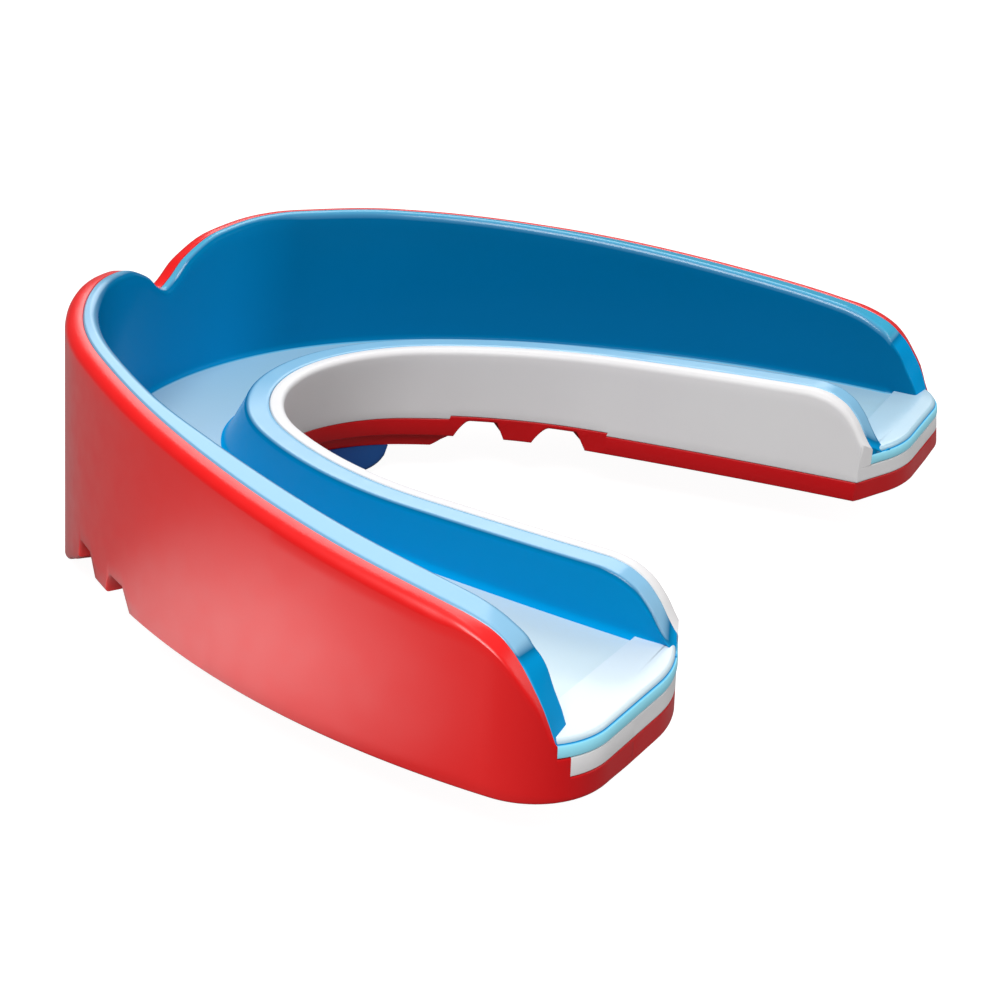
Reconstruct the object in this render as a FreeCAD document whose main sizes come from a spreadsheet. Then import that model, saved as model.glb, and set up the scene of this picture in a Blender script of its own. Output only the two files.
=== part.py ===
"""Boxing mouthguard built as four moulded pieces.

Red outer shell, white shock frame, blue gel liner and blue lower gel pad.
Units are millimetres. X runs across the jaw, the front faces -Y, +Z is up.
The origin is the middle of the bounding box in plan, on the lowest face.
"""
import FreeCAD, Part
import math
import os

os.makedirs("parts", exist_ok=True)
doc = FreeCAD.newDocument("mouthguard")

# ------------------------------------------------------------ driving sizes
SIZES = {
    "front_y": -24.95,        # foremost point of the bite plate
    "bite_level": 3.2,        # flat underside that the lower teeth bite on
    "base_thick": 1.35,       # red bite plate
    "bridge_thick": 1.6,      # red bite plate over the shock channels
    "frame_top": 2.4,         # top of the white plate above the bite level
    "floor_top": 3.4,         # gel floor at the front and at the tips
    "recess_depth": 0.2,      # tooth recess in the gel floor
    "tongue_wall": 6.8,       # tongue-side wall above the bite level
    "lip_wall": 14.0,         # lip-side wall before its rim is trimmed
    "shell_wall": 1.1,        # red lip-side wall
    "gel_wall": 1.65,         # gel on the lip-side wall
    "frame_wall": 1.0,        # white tongue-side wall
    "channel_depth": 1.25,    # shock channels under the bite plate
    "step_depth": 0.9,        # step under the front of the bite plate
    "bumper_depth": 3.2,      # front bumper below the bite level
    "bumper_wall": 3.6,       # front bumper, front to back
    "pad_depth": 3.0,         # lower gel pad below the bite level
    "pad_gap": 0.05,          # gap round the lower gel pad
    "skin_gap": 0.01,         # gap between moulded layers on curved faces
}

sheet = doc.addObject("Spreadsheet::Sheet", "dims")
for row, (word, value) in enumerate(SIZES.items(), start=1):
    sheet.set("A%d" % row, word)
    sheet.set("B%d" % row, str(value))
    sheet.setAlias("B%d" % row, word)
doc.recompute()

# Horseshoe outlines: (length, turn in degrees) arcs from the midline to the tip.
TURNS_OUT = (26.5, 28.5, 36.1)
OUT_LOW = (0.0, (10.24, 14.46, 35.87))       # at the bite level
OUT_HIGH = (1.32, (11.81, 10.0, 36.08))      # at LEAN_SPAN above it
LEAN_SPAN = 13.0
TURNS_IN = (24.3, 32.1, 25.3, 4.0)
IN_LOW = (12.37, (3.28, 6.10, 13.24, 19.16))     # at the bite level
IN_HIGH = (14.45, (3.89, 6.09, 13.22, 17.0))     # at the tongue-side rim
CORNER = (6.87, 86.0)            # cheek-side corner of the tip
TIP_FLAT = 5.6                   # straight end of the tip
TIP_ROUND = (4.2, 30.0)          # tongue-side rounding of the tip
WRAP_FRAME = 52.5                # corner angle where the red wall stops, low down
WRAP_GEL = 43.0                  # the same beside the gel
SKEW = 0.554                     # how a wall offset lengthens towards the chamfer
GEL_TONGUE = (1.94, 2.64)        # tongue side to the trough face, at the bite level and at the rim

# Side views as (y behind the front, height above the bite level).
LIP_RIM_FRONT = ((-3.0, 13.3), (11.0, 12.85), (24.0, 11.5))
LIP_RIM_REAR = ((43.4, 8.9), (46.2, 7.0))
LIP_RIM_END = 3.6                # height where the rim meets the tip
SHELL_TIP = 48.5                 # where the red rim meets the tip
GEL_TIP = 47.9                   # where the gel rim meets the tip
TONGUE_RIM_FRAME = ((43.6, 6.81), (46.8, 5.6), (48.35, 2.4))
TONGUE_RIM_GEL = ((43.0, 6.81), (46.6, 5.2), (48.0, 3.4))
# Front view of the notch between the lobes: (x, height above the bite level).
NOTCH = ((0.0, 10.0), (3.9, 12.35), (9.6, 13.35))

# Shock channels, measured across them: foot, shoulder, crown and heel.
CHANNEL_ANGLE = -42.5            # direction of the channels in plan
CHANNELS = ((21.4, 22.1, 23.9, 24.75), (26.55, 27.3, 29.0, 29.9))
CHANNEL_BULGE = (0.15, 0.62)     # middle of the curved flank, as shares of its size
BRIDGE = (20.7, 30.8)            # reach of the thick plate over the channels

# Reach along the lip side and the tongue side, at the top and at the foot.
STEP_REACH = ((23.2, 10.3), (21.0, 9.0))
STEP_BACK = 0.5                  # how far the step's tongue side draws in
BUMPER_REACH = (21.0, 16.0)
PAD_REACH = ((12.0, 8.4), (9.0, 6.2))
PAD_TONGUE = 0.55                # tongue side of the lower gel pad
RECESS = ((4.2, 3.0), (4.2, 13.0), (12.0, 30.0), (14.0, 47.0), (31.0, 45.6), (31.0, 25.0), (18.0, 4.0))

# Lengths that only have to clear the body.
CLEAR = 20.0
CUT_WIDE = 80.0
CUT_TONGUE = 40.0                # wide enough for the tongue-side walls, clear of the lip-side walls
CUT_NOTCH = 16.0
BETWEEN_ARMS = -12.0             # start of a channel, measured along it
BEHIND_ARMS = -40.0              # start far enough back to reach the whole tip


# ------------------------------------------------------------ outline helpers
def mix(low, high, share):
    """Blend two outline descriptions (midline position, arc lengths)."""
    lengths = tuple(a + (b - a) * share for a, b in zip(low[1], high[1]))
    return low[0] + (high[0] - low[0]) * share, lengths


def walk(start, heading, moves):
    """Follow (length, turn) moves; return the segments, end point and heading."""
    segments = []
    x, y = start
    angle = math.radians(heading)
    for length, turn in moves:
        if length < 1e-6:
            angle += math.radians(turn)
            continue
        bend = math.radians(turn)
        if abs(bend) < 1e-6:
            nx = x + length * math.cos(angle)
            ny = y + length * math.sin(angle)
            segments.append(((x, y), None, (nx, ny)))
        else:
            radius = length / bend
            cx = x - radius * math.sin(angle)
            cy = y + radius * math.cos(angle)
            half = angle + bend / 2
            mx = cx + radius * math.sin(half)
            my = cy - radius * math.cos(half)
            angle += bend
            nx = cx + radius * math.sin(angle)
            ny = cy - radius * math.cos(angle)
            segments.append(((x, y), (mx, my), (nx, ny)))
        x, y = nx, ny
    return segments, (x, y), math.degrees(angle)


def reverse(segments):
    return [(c, b, a) for a, b, c in reversed(segments)]


def mirror(segments):
    flip = lambda p: None if p is None else (-p[0], p[1])
    return [(flip(a), flip(b), flip(c)) for a, b, c in segments]


def lip_moves(level, offset, reach=None):
    """Moves along the lip side at a height, set inwards by an offset."""
    start, lengths = mix(OUT_LOW, OUT_HIGH, level / LEAN_SPAN)
    moves = []
    left = reach if reach is not None else sum(lengths)
    for length, turn in zip(lengths, TURNS_OUT):
        part = min(1.0, max(0.0, left / length))
        moves.append((length * part - offset * math.radians(turn * part), turn * part))
        left -= length
    return (0.0, start + offset), [m for m in moves if m[1] > 0]


def tongue_moves(level, offset, reach=None):
    """Moves along the tongue side at a height, set towards the lip by an offset."""
    start, lengths = mix(IN_LOW, IN_HIGH, level / SIZES["tongue_wall"])
    moves = []
    left = reach if reach is not None else sum(lengths)
    for length, turn in zip(lengths, TURNS_IN):
        part = min(1.0, max(0.0, left / length))
        moves.append((length * part + offset * math.radians(turn * part), turn * part))
        left -= length
    moves = [m for m in moves if m[1] > 0]
    if reach is None:
        moves.append((SKEW * offset, 0.0))
    return (0.0, start - offset), moves


def close(half):
    """Join a half on +X to its mirror image as one loop."""
    return half + reverse(mirror(half))


def join(first, second):
    """Put a straight line between two runs of segments."""
    gap = math.dist(first[-1][2], second[0][0])
    link = [(first[-1][2], None, second[0][0])] if gap > 1e-6 else []
    return first + link + second


def plate(level, lip_offset, tongue_offset, wrap=None):
    """Whole horseshoe outline at a height."""
    start, moves = lip_moves(level, lip_offset)
    if wrap is None:
        moves = moves + [CORNER]
    else:
        share = wrap / CORNER[1]
        moves = moves + [
            (CORNER[0] * share - lip_offset * math.radians(wrap), wrap),
            (0.0, -90.0), (lip_offset, 0.0), (0.0, 90.0),
            (CORNER[0] * (1 - share), CORNER[1] - wrap),
        ]
    moves = moves + [(TIP_FLAT, 0.0), TIP_ROUND]
    outer, _, _ = walk(start, 0.0, moves)
    start, moves = tongue_moves(level, tongue_offset)
    inner, _, _ = walk(start, 0.0, moves)
    return close(join(outer, reverse(inner)))


def lip_band(level, near, far, wrap=0.0, reach=None):
    """Outline of a wall between two lip-side offsets."""
    sides = []
    for offset in (near, far):
        start, moves = lip_moves(level, offset, reach)
        if wrap:
            share = wrap / CORNER[1]
            moves = moves + [(CORNER[0] * share - offset * math.radians(wrap), wrap)]
        sides.append(walk(start, 0.0, moves)[0])
    return close(join(sides[0], reverse(sides[1])))


def tongue_band(level, near, far):
    """Outline of a wall between two tongue-side offsets."""
    sides = []
    for offset in (far, near):
        start, moves = tongue_moves(level, offset)
        sides.append(walk(start, 0.0, moves)[0])
    return close(join(sides[0], reverse(sides[1])))


def front_plan(level, lip_reach, tongue_reach, lip_offset, tongue_offset):
    """Outline of the front of the plate, from the lip side to the tongue side."""
    start, moves = lip_moves(level, lip_offset, lip_reach)
    outer, _, _ = walk(start, 0.0, moves)
    start, moves = tongue_moves(0.0, tongue_offset, tongue_reach)
    inner, _, _ = walk(start, 0.0, moves)
    return close(join(outer, reverse(inner)))


# ------------------------------------------------------------ FreeCAD helpers
def new_body(label):
    body = doc.addObject("PartDesign::Body", label)
    body.Label = label
    return body


def origin_plane(body, role):
    for feature in body.Origin.OriginFeatures:
        if feature.Role == role:
            return feature
    raise ValueError(role)


def draw(sketch, segments):
    """Add a closed loop of lines and arcs, joined end to end."""
    for first, middle, last in segments:
        a = FreeCAD.Vector(first[0], first[1], 0)
        c = FreeCAD.Vector(last[0], last[1], 0)
        if middle is None:
            sketch.addGeometry(Part.LineSegment(a, c), False)
        else:
            b = FreeCAD.Vector(middle[0], middle[1], 0)
            sketch.addGeometry(Part.Arc(a, b, c), False)


def new_sketch(body, name, role, segments, place=None, level=None):
    """Sketch on an origin plane; level is an expression for its height."""
    sketch = body.newObject("Sketcher::SketchObject", name)
    sketch.AttachmentSupport = (origin_plane(body, role), "")
    sketch.MapMode = "FlatFace"
    if place is not None:
        sketch.AttachmentOffset = place
    if level is not None:
        sketch.setExpression("AttachmentOffset.Base.z", level)
    draw(sketch, segments)
    return sketch


def shift(segments):
    """Move an outline from the midline frame to the part frame."""
    dy = SIZES["front_y"]
    move = lambda p: None if p is None else (p[0], p[1] + dy)
    return [(move(a), move(b), move(c)) for a, b, c in segments]


def loft(body, name, outline_at, low, high):
    """Solid between the outlines at two heights above the bite level.

    low and high are (value, expression) pairs, so the sheet drives the heights.
    """
    sketches = []
    for end, (value, words) in zip(("low", "high"), (low, high)):
        sketches.append(new_sketch(
            body, name + "_" + end, "XY_Plane", shift(outline_at(value)),
            level="dims.bite_level + (" + words + ")"))
    feature = body.newObject("PartDesign::AdditiveLoft", name)
    feature.Profile = sketches[0]
    feature.Sections = [sketches[1]]
    feature.Ruled = True
    body.Tip = feature
    doc.recompute()
    return feature


def pocket(body, name, sketch, length, midplane=False, reverse_way=True):
    """Cut along the sketch normal, both ways from it, or against it."""
    before = body.Shape.Volume
    feature = body.newObject("PartDesign::Pocket", name)
    feature.Profile = sketch
    feature.Midplane = midplane
    feature.Reversed = reverse_way and not midplane
    feature.Length = length
    body.Tip = feature
    doc.recompute()
    if before - body.Shape.Volume < 1e-3:
        raise ValueError(name + " cuts nothing")
    return feature


def mirrored(body, name, originals):
    feature = body.newObject("PartDesign::Mirrored", name)
    feature.Originals = originals
    feature.MirrorPlane = (origin_plane(body, "YZ_Plane"), [""])
    body.Tip = feature
    doc.recompute()
    return feature


def at(word):
    return SIZES[word], "dims." + word


def flat(value):
    return value, str(value)


# ------------------------------------------------------------ shared cuts
SIDE_VIEW = FreeCAD.Placement(
    FreeCAD.Vector(0, 0, 0),
    FreeCAD.Rotation(FreeCAD.Vector(0, 1, 0), FreeCAD.Vector(0, 0, 1), FreeCAD.Vector(1, 0, 0)))


def side_points(points):
    """Side-view points in the part frame."""
    return [(y + SIZES["front_y"], z + SIZES["bite_level"]) for y, z in points]


def polygon(points):
    """Closed loop of straight lines through points."""
    points = list(points)
    return [(a, None, b) for a, b in zip(points, points[1:] + points[:1])]


def chain(*runs):
    """Segments through points; a run of three points is an arc."""
    segments = []
    for run in runs:
        if len(run) == 2:
            segments.append((run[0], None, run[1]))
        else:
            segments.append((run[0], run[1], run[2]))
    return segments


def lip_rim(tip_y):
    """Everything above the lip-side rim, seen from the side."""
    front = side_points(LIP_RIM_FRONT)
    rear = side_points(LIP_RIM_REAR + ((tip_y, LIP_RIM_END),))
    far = (CUT_WIDE, rear[2][1])
    above = (CUT_WIDE, front[0][1] + CLEAR)
    top = (front[0][0], above[1])
    return chain(front, (front[2], rear[0]), rear, (rear[2], far), (far, above), (above, top), (top, front[0]))


def behind_shoulder(points):
    """Everything behind the rounded rear end of the tongue-side wall."""
    a, b, c = side_points(points)
    far = (CUT_WIDE, c[1])
    above = (CUT_WIDE, a[1] + CLEAR)
    top = (a[0], above[1])
    return chain((a, b, c), (c, far), (far, above), (above, top), (top, a))


def lip_notch():
    """Notch between the two front lobes, seen from the front."""
    foot, middle, top = [(x, z + SIZES["bite_level"]) for x, z in NOTCH]
    above = (top[0], top[1] + CLEAR)
    half = chain((foot, middle, top), (top, above), (above, (0.0, above[1])))
    return close(half)


def trim_lip_wall(body, tip_y):
    """Cut the lip-side rim and the notch between the front lobes."""
    sketch = new_sketch(body, "rim_view", "XY_Plane", lip_rim(tip_y), place=SIDE_VIEW)
    pocket(body, "rim_cut", sketch, CUT_WIDE, midplane=True)
    front = FreeCAD.Placement(
        FreeCAD.Vector(0, SIZES["front_y"], 0),
        FreeCAD.Rotation(FreeCAD.Vector(1, 0, 0), FreeCAD.Vector(0, 0, 1), FreeCAD.Vector(0, -1, 0)))
    sketch = new_sketch(body, "notch_view", "XY_Plane", lip_notch(), place=front)
    pocket(body, "notch_cut", sketch, CUT_NOTCH, midplane=True)


def trim_tongue_wall(body, points):
    """Round off the rear end of the tongue-side wall."""
    sketch = new_sketch(body, "shoulder_view", "XY_Plane", behind_shoulder(points), place=SIDE_VIEW)
    pocket(body, "shoulder_cut", sketch, CUT_TONGUE, midplane=True)


def channel_view(begin):
    """View along the shock channels; begin is where the cut starts along them."""
    angle = math.radians(CHANNEL_ANGLE)
    along = FreeCAD.Vector(math.cos(angle), math.sin(angle), 0)
    across = FreeCAD.Vector(-math.sin(angle), math.cos(angle), 0)
    front = FreeCAD.Vector(0, SIZES["front_y"], 0)
    turn = FreeCAD.Rotation(across, FreeCAD.Vector(0, 0, 1), along)
    return FreeCAD.Placement(front + along * begin, turn)


def channel_outline(foot, shoulder, crown, heel):
    """Shock channel: curved front flank, flat roof and straight rear flank."""
    base = SIZES["bite_level"]
    low = base - CLEAR
    roof = base + SIZES["channel_depth"]
    bend = (foot + CHANNEL_BULGE[0] * (shoulder - foot), base + CHANNEL_BULGE[1] * SIZES["channel_depth"])
    return chain(
        ((foot, low), (foot, base)), ((foot, base), bend, (shoulder, roof)),
        ((shoulder, roof), (crown, roof)), ((crown, roof), (heel, base)),
        ((heel, base), (heel, low)), ((heel, low), (foot, low)))


def across_channels(begin, end, low, high):
    """Rectangle in the view along the channels."""
    return polygon([(begin, low), (end, low), (end, high), (begin, high)])


def cut_along_channels(body, name, outline, begin):
    """Cut the +X side along the channel direction, then mirror the cut."""
    sketch = new_sketch(body, name + "_view", "XY_Plane", outline, place=channel_view(begin))
    cut = pocket(body, name, sketch, CUT_WIDE)
    mirrored(body, name + "_mirrored", [cut])


# ------------------------------------------------------------ red outer shell
def make_outer_shell():
    body = new_body("outer_shell")
    wall = SIZES["shell_wall"]
    base = SIZES["bite_level"]
    thin = base + SIZES["base_thick"]
    over = thin + CLEAR
    loft(body, "bite_plate", lambda z: plate(z, 0.0, 0.0), flat(0.0), at("bridge_thick"))
    # the plate is only thick over the channels
    cut_along_channels(body, "thin_front", across_channels(-CLEAR, BRIDGE[0], thin, over), BETWEEN_ARMS)
    cut_along_channels(body, "thin_rear", across_channels(BRIDGE[1], CUT_WIDE, thin, over), BEHIND_ARMS)
    # lip-side wall, reaching a little further round the corner low down
    loft(body, "low_wall", lambda z: lip_band(z, 0.0, wall, WRAP_FRAME), flat(0.0), at("frame_top"))
    loft(body, "high_wall", lambda z: lip_band(z, 0.0, wall, WRAP_GEL), at("frame_top"), at("lip_wall"))
    trim_lip_wall(body, SHELL_TIP)
    # stepped underside of the front and the bumper in front of the lower teeth
    step = ("-dims.step_depth", -SIZES["step_depth"])
    loft(body, "front_step", step_plan, (step[1], step[0]), flat(0.0))
    loft(body, "bumper", bumper_plan, (-SIZES["bumper_depth"], "-dims.bumper_depth"), (step[1], step[0]))
    for number, profile in enumerate(CHANNELS, start=1):
        cut_along_channels(body, "channel_%d" % number, channel_outline(*profile), BETWEEN_ARMS)
    return body


def between(top, foot, share):
    """Value a share of the way down from top to foot."""
    return top + (foot - top) * share


def step_plan(level):
    """Front of the underside at a height: it draws in as it goes down."""
    share = -level / SIZES["step_depth"]
    lip_reach = between(STEP_REACH[0][0], STEP_REACH[1][0], share)
    tongue_reach = between(STEP_REACH[0][1], STEP_REACH[1][1], share)
    return front_plan(level, lip_reach, tongue_reach, 0.0, STEP_BACK * share)


def bumper_plan(level):
    """Bumper wall at a height: it gets shorter as it goes down."""
    share = (-level - SIZES["step_depth"]) / (SIZES["bumper_depth"] - SIZES["step_depth"])
    return lip_band(level, 0.0, SIZES["bumper_wall"], reach=between(BUMPER_REACH[0], BUMPER_REACH[1], share))


# ------------------------------------------------------------ white shock frame
def make_shock_frame():
    body = new_body("shock_frame")
    wall = SIZES["shell_wall"] + SIZES["skin_gap"]
    base = SIZES["bite_level"]
    seat = base + SIZES["bridge_thick"]
    frame = SIZES["frame_wall"]
    loft(body, "frame_plate", lambda z: plate(z, wall, 0.0, WRAP_FRAME), at("base_thick"), at("frame_top"))
    bridge = across_channels(BRIDGE[0], BRIDGE[1], base, seat)
    cut_along_channels(body, "bridge_seat", bridge, BETWEEN_ARMS)
    loft(body, "tongue_wall", lambda z: tongue_band(z, 0.0, frame), at("frame_top"), at("tongue_wall"))
    trim_tongue_wall(body, TONGUE_RIM_FRAME)
    return body


# ------------------------------------------------------------ blue gel liner
def gel_inside(level):
    """Tongue-side thickness to the trough face, growing a little upwards."""
    return between(GEL_TONGUE[0], GEL_TONGUE[1], level / SIZES["tongue_wall"])


def make_gel_liner():
    body = new_body("gel_liner")
    shell = SIZES["shell_wall"] + SIZES["skin_gap"]
    liner = SIZES["shell_wall"] + SIZES["gel_wall"]
    frame = SIZES["frame_wall"] + SIZES["skin_gap"]
    loft(body, "floor", lambda z: plate(z, shell, frame, WRAP_GEL), at("frame_top"), at("floor_top"))
    cut_recess(body)
    loft(body, "lip_liner", lambda z: lip_band(z, shell, liner, WRAP_GEL), at("frame_top"), at("lip_wall"))
    trim_lip_wall(body, GEL_TIP)
    loft(body, "tongue_liner", lambda z: tongue_band(z, frame, gel_inside(z)), at("frame_top"), at("tongue_wall"))
    trim_tongue_wall(body, TONGUE_RIM_GEL)
    return body


def cut_recess(body):
    """Tooth recess in each arm's floor, between the front and the tip."""
    level = "dims.bite_level + dims.floor_top"
    sketch = new_sketch(body, "recess_plan", "XY_Plane", shift(polygon(RECESS)), level=level)
    cut = pocket(body, "recess", sketch, SIZES["recess_depth"], reverse_way=False)
    cut.setExpression("Length", "dims.recess_depth")
    mirrored(body, "recess_mirrored", [cut])


# ------------------------------------------------------------ blue lower gel pad
def pad_plan(level):
    """Lower gel pad at a height: its ends slope in as it goes down."""
    share = (-level - SIZES["step_depth"]) / (SIZES["pad_depth"] - SIZES["step_depth"])
    edge = SIZES["bumper_wall"] + SIZES["pad_gap"]
    lip_reach = between(PAD_REACH[0][0], PAD_REACH[1][0], share)
    tongue_reach = between(PAD_REACH[0][1], PAD_REACH[1][1], share)
    return front_plan(level, lip_reach, tongue_reach, edge, PAD_TONGUE)


def make_lower_pad():
    body = new_body("lower_gel_pad")
    top = "-dims.step_depth - dims.skin_gap"
    loft(body, "pad", pad_plan, (-SIZES["pad_depth"], "-dims.pad_depth"),
         (-SIZES["step_depth"], top))
    return body


# ------------------------------------------------------------ build and write
def check_and_write(bodies):
    doc.recompute()
    for item in doc.Objects:
        if "Invalid" in item.State or "Error" in item.State:
            raise ValueError(item.Label + " did not recompute: " + str(item.State))
    for body in bodies:
        shape = body.Shape
        if shape.isNull() or not shape.isValid() or len(shape.Solids) != 1:
            raise ValueError(body.Label + " is not one valid solid")
        print(body.Label, round(shape.Volume, 1), shape.BoundBox)
        shape.exportStep("parts/" + body.Label + ".step")


check_and_write([make_outer_shell(), make_shock_frame(), make_gel_liner(), make_lower_pad()])
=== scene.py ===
"""Looks of a boxing mouthguard: red shell, white shock frame and blue gel.

Shapes are worked out in the bite frame, in millimetres: X across the jaw, Y back
from the foremost point of the bite plate, Z up from the flat that the lower teeth
bite on.  Each piece is a row of closed sections from one tip of the horseshoe
through the front to the other tip.  A distance called a runs along the lip side from
the midline, a distance called b along the tongue side.  An inset is square to a side.
"""
import math

import bmesh
import bpy
from mathutils import Matrix, Vector


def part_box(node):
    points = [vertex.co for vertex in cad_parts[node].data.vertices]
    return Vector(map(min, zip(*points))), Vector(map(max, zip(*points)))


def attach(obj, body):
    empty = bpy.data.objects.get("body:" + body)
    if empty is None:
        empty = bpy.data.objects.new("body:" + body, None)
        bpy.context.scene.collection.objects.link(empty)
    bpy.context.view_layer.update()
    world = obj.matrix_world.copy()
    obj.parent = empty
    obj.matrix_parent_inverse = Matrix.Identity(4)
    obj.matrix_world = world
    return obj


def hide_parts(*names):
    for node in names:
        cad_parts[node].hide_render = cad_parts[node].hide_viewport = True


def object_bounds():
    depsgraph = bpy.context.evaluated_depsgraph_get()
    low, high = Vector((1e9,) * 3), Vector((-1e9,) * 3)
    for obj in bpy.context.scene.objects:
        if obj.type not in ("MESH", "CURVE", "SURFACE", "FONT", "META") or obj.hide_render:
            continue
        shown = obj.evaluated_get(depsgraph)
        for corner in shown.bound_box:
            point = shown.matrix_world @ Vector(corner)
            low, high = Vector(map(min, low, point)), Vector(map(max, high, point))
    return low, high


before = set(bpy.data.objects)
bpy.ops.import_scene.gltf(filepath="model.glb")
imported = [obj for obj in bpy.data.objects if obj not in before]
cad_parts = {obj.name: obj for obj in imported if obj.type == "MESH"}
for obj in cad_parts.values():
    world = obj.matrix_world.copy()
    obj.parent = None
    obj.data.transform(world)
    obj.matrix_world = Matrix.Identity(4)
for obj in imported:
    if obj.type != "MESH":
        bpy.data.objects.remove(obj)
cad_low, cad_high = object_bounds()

MM = 0.001
TINY = 1e-9

# ---------------------------------------- horseshoe outlines
# Start behind the front, arc lengths and turns in degrees from the midline to the tip.
LIP_TURNS = (26.5, 28.5, 36.1)
LIP_LOW = (0.0, (10.24, 14.46, 35.87))       # at the bite level
LIP_HIGH = (1.32, (11.81, 10.0, 36.08))      # LIP_SPAN above it
LIP_SPAN = 13.0
TONGUE_TURNS = (24.3, 32.1, 25.3, 4.0)
TONGUE_LOW = (12.37, (3.28, 6.10, 13.24, 19.16))
TONGUE_HIGH = (14.45, (3.89, 6.09, 13.22, 17.0))
TONGUE_SPAN = 6.8
TIP = ((6.87, 86.0), (5.6, 0.0), (4.2, 30.0))   # corner, flat end and rounding of a tip
LIP_END = sum(LIP_LOW[1])
TONGUE_END = sum(TONGUE_LOW[1])
CORNER_END = LIP_END + TIP[0][0]
TIP_MIDDLE = CORNER_END + TIP[1][0] / 2
TIP_END = LIP_END + sum(length for length, turn in TIP)
CHAMFER = 2.2                    # flat between the tip's rounding and the tongue side
CORNER_BEND = math.radians(61.0)     # between the tongue side and that flat
MITER = math.tan(CORNER_BEND / 2)    # how an inset shortens a run at that corner
SKEW = 1 / math.tan(CORNER_BEND)     # how standing back lengthens the tongue side
SLANT = 1 / math.sin(CORNER_BEND)    # how standing back shortens the flat

# ---------------------------------------- heights and thicknesses
BASE_TOP = 1.35                  # red bite plate
BRIDGE_TOP = 1.6                 # red bite plate over the shock channels
FRAME_TOP = 2.4                  # white plate
FLOOR_RECESS = 3.2               # gel floor in the tooth recess
FLOOR_PAD = 3.4                  # gel floor at the tips
SHELL_WALL = 1.1                 # red wall on the lip side
FRAME_WALL = 1.0                 # white wall on the tongue side
BUMPER_WALL = 3.6                # red bumper under the front
SKIN = 0.02                      # gap between moulded layers
LAYER = 0.01                     # gap between stacked plates
WALL_TURNS = (43.0, 52.5)        # degrees round the corner where the red wall ends
WRAP_GEL = LIP_END + TIP[0][0] * WALL_TURNS[0] / TIP[0][1]       # beside the gel
WRAP_FRAME = LIP_END + TIP[0][0] * WALL_TURNS[1] / TIP[0][1]     # beside the white plate

# Curves as (distance along the lip side, value): height of the rim where the gel begins,
RIM = ((0, 10.2), (0.9, 10.65), (2.2, 11.78), (5, 13.02), (9, 13.47), (15, 13.25), (24, 12.95),
       (36, 11.9), (50, 10.05), (57.9, 8.85), (59.5, 8.45), (60.9, 7.8), (62.0, 6.9), (62.9, 5.6),
       (63.4, 4.6), (63.8, 3.5), (64.3, 2.4), (70, 2.3))
# height of the gel's inner edge in the cut at the tip,
RIM_INNER = ((57.0, 9.2), (58.7, 8.85), (59.5, 8.55), (60.4, 8.07), (61.2, 7.6), (61.5, 7.2),
             (62.4, 6.25), (63.0, 5.1), (63.6, 4.1), (63.9, 3.4), (64.3, 2.4), (70, 2.3))
# height of the lower edge of the facet there,
CREASE = ((57.0, 8.9), (59.5, 8.2), (60.7, 7.6), (61.5, 6.9), (62.3, 5.85), (63.0, 4.9),
          (63.8, 3.2), (70, 2.3))
# thickness of the red wall,
TIP_WALL = ((0, SHELL_WALL), (59.5, SHELL_WALL), (61.2, 0.95), (62.6, 0.5), (63.5, 0.2),
            (WRAP_GEL, 0.1), (80, 0.1))
# inset of the inner face of the lip-side lining,
GEL_REACH = ((0, 1.95), (12, 1.98), (20, 2.12), (31, 2.2), (38, 2.55), (46, 2.8), (60, 2.95),
             (70, 2.85))
# height of the gel floor,
FLOOR = ((0, FLOOR_RECESS), (61.75, FLOOR_RECESS), (61.95, FLOOR_PAD), (80, FLOOR_PAD))
# and height of the bumper's lower edge.
BUMPER_EDGE = ((0, -3.2), (15.8, -3.2), (16.6, -3.05), (18.4, -2.35), (19.6, -1.9), (20.8, -1.25),
               (21.9, -0.75), (22.7, -0.45), (23.5, 0.0))
# Height of the tongue-side rim by its place behind the front.
TONGUE_RIM = ((12, 6.6), (25, 6.75), (40, 7.05), (43.9, 7.1), (45.2, 6.93), (46.5, 6.38),
              (47.5, 5.4), (48.1, 4.45), (48.5, 3.85), (48.8, 3.5), (49.1, 3.1), (49.5, 2.4),
              (52, 2.4))
TONGUE_RIM_LEVEL = 4.0           # the tongue side is taken at this height to read that table

RIM_SLOPE = 0.13                 # the lip-side rim falls towards the lips
CUT_START = 57.0                 # from here the rim turns into the cut at the tip
CUT_RUN = 2.0
FACET_RUN = 3.5                  # run over which the wall's rounded edge turns into a facet
SHEAR_RUN = 3.0                  # last part of the tongue-side walls, which end on the flat
THIN = 0.05                      # least height that a wall is scaled by
LINER_RUN = 0.83                 # run of the lip-side liner's inner face at the tip, as a share

# Underside, measured across the shock channels: foot, shoulder, crown and heel of each.
CHANNEL_TURN = math.radians(47.5)
CHANNELS = ((21.4, 22.1, 23.9, 24.75), (26.55, 27.3, 29.0, 29.9))
CHANNEL_ROOF = 1.25
CHANNEL_SWELL = 0.8              # 1 is a round foot, less is fuller
BRIDGE = (20.7, 30.8)
STEP_DEPTH = 0.9                 # step under the front
STEP_END = 23.3                  # along the lip side
STEP_RUN = 1.6
STEP_SWELL = 0.7
BUMPER_END = 23.4


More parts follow.
